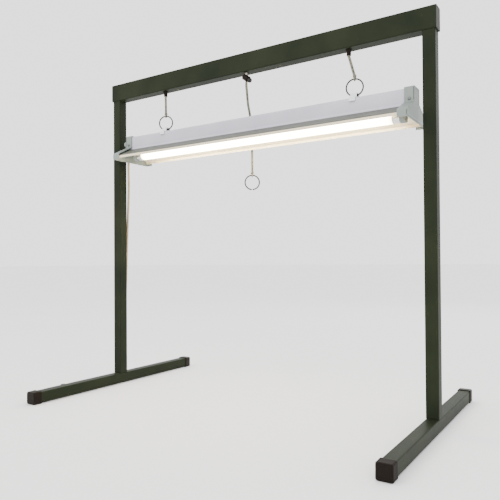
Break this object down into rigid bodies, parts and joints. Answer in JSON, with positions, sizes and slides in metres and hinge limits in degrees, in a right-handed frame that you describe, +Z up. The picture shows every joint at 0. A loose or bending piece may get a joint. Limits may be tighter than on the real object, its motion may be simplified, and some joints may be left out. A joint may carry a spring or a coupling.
{
  "type": "grow lamp",
  "caption": "Fluorescent strip lamp with a winged reflector, hung on cords from the crossbar of a square-tube stand so that it can be raised over plants.",
  "frame": {"origin": "on the floor, midway between the two feet", "axes": "+X along the crossbar to the right, -Y to the front, +Z up"},
  "size_m": [0.718, 0.438, 0.63],
  "materials": {
    "frame_paint": "satin",
    "cap_plastic": "matte",
    "fastener_steel": "satin",
    "ring_wire": "satin",
    "housing_paint": "gloss",
    "reflector_paint": "gloss",
    "white_plastic": "satin",
    "tube_glass": "gloss",
    "ferrule_metal": "satin",
    "lift_cord": "matte",
    "mains_jacket": "satin",
    "black_plastic": "satin"
  },
  "bodies": {
    "stand": {"foot_left": "frame_paint", "foot_right": "frame_paint", "upright_left": "frame_paint", "upright_right": "frame_paint", "crossbar": "frame_paint", "foot_cap_left_front": "cap_plastic", "foot_cap_left_back": "cap_plastic", "crossbar_end_left": "cap_plastic", "cord_grommet_left": "cap_plastic", "upright_nut_left": "fastener_steel", "foot_bolt_left": "fastener_steel", "crossbar_screw_left": "fastener_steel", "cord_run_left": "lift_cord", "lift_cord_left": "lift_cord", "foot_cap_right_front": "cap_plastic", "foot_cap_right_back": "cap_plastic", "crossbar_end_right": "cap_plastic", "cord_grommet_right": "cap_plastic", "upright_nut_right": "fastener_steel", "foot_bolt_right": "fastener_steel", "crossbar_screw_right": "fastener_steel", "cord_run_right": "lift_cord", "lift_cord_right": "lift_cord", "cord_grommet_centre": "cap_plastic", "cord_knot": "lift_cord", "pull_cord": "lift_cord", "cord_lock_barrel": "black_plastic", "cord_tie": "black_plastic", "mains_cord": "mains_jacket", "mains_cord_tail": "mains_jacket", "mains_cord_hank": "mains_jacket", "mains_plug": "mains_jacket"},
    "lamp": {"lamp_housing": "housing_paint", "reflector": "reflector_paint", "ballast": "housing_paint", "power_inlet": "white_plastic", "strain_relief": "mains_jacket", "lamp_end_cap_left": "white_plastic", "end_cap_screw_left": "fastener_steel", "hanger_clip_left": "housing_paint", "hanger_ring_left": "ring_wire", "lampholder_left": "white_plastic", "lamp_end_cap_right": "white_plastic", "end_cap_screw_right": "fastener_steel", "hanger_clip_right": "housing_paint", "hanger_ring_right": "ring_wire", "lampholder_right": "white_plastic"},
    "pull_ring": {"pull_ring": "ring_wire"},
    "lock_button": {"cord_lock_button": "black_plastic"},
    "tube": {"tube_glass": "tube_glass", "tube_ferrule_left": "ferrule_metal", "pin_rotor_left": "white_plastic", "tube_ferrule_right": "ferrule_metal", "pin_rotor_right": "white_plastic"}
  },
  "joints": [
    {"name": "lamp_lift", "type": "slide", "parent": "stand", "child": "lamp", "axis": [0, 0, 1], "range_m": [-0.12, 0.015], "deforming": ["lift_cord_left", "lift_cord_right", "mains_cord"]},
    {"name": "pull_ring_slide", "type": "slide", "parent": "stand", "child": "pull_ring", "axis": [0, 0, 1], "range_m": [-0.015, 0.12], "deforming": ["pull_cord"]},
    {"name": "lock_button_press", "type": "slide", "parent": "stand", "child": "lock_button", "axis": [-0.8, 0, 0.6], "range_m": [0, 0.0025], "stiffness_N_per_m": 600, "springref_m": -0.002},
    {"name": "tube_twist", "type": "hinge", "parent": "lamp", "child": "tube", "pos_m": [0.005, 0, 0.4732], "axis": [1, 0, 0], "range_deg": [0, 90]}
  ],
  "couplings": [
    {"joint": "pull_ring_slide", "follows": "lamp_lift", "ratio": -1}
  ]
}
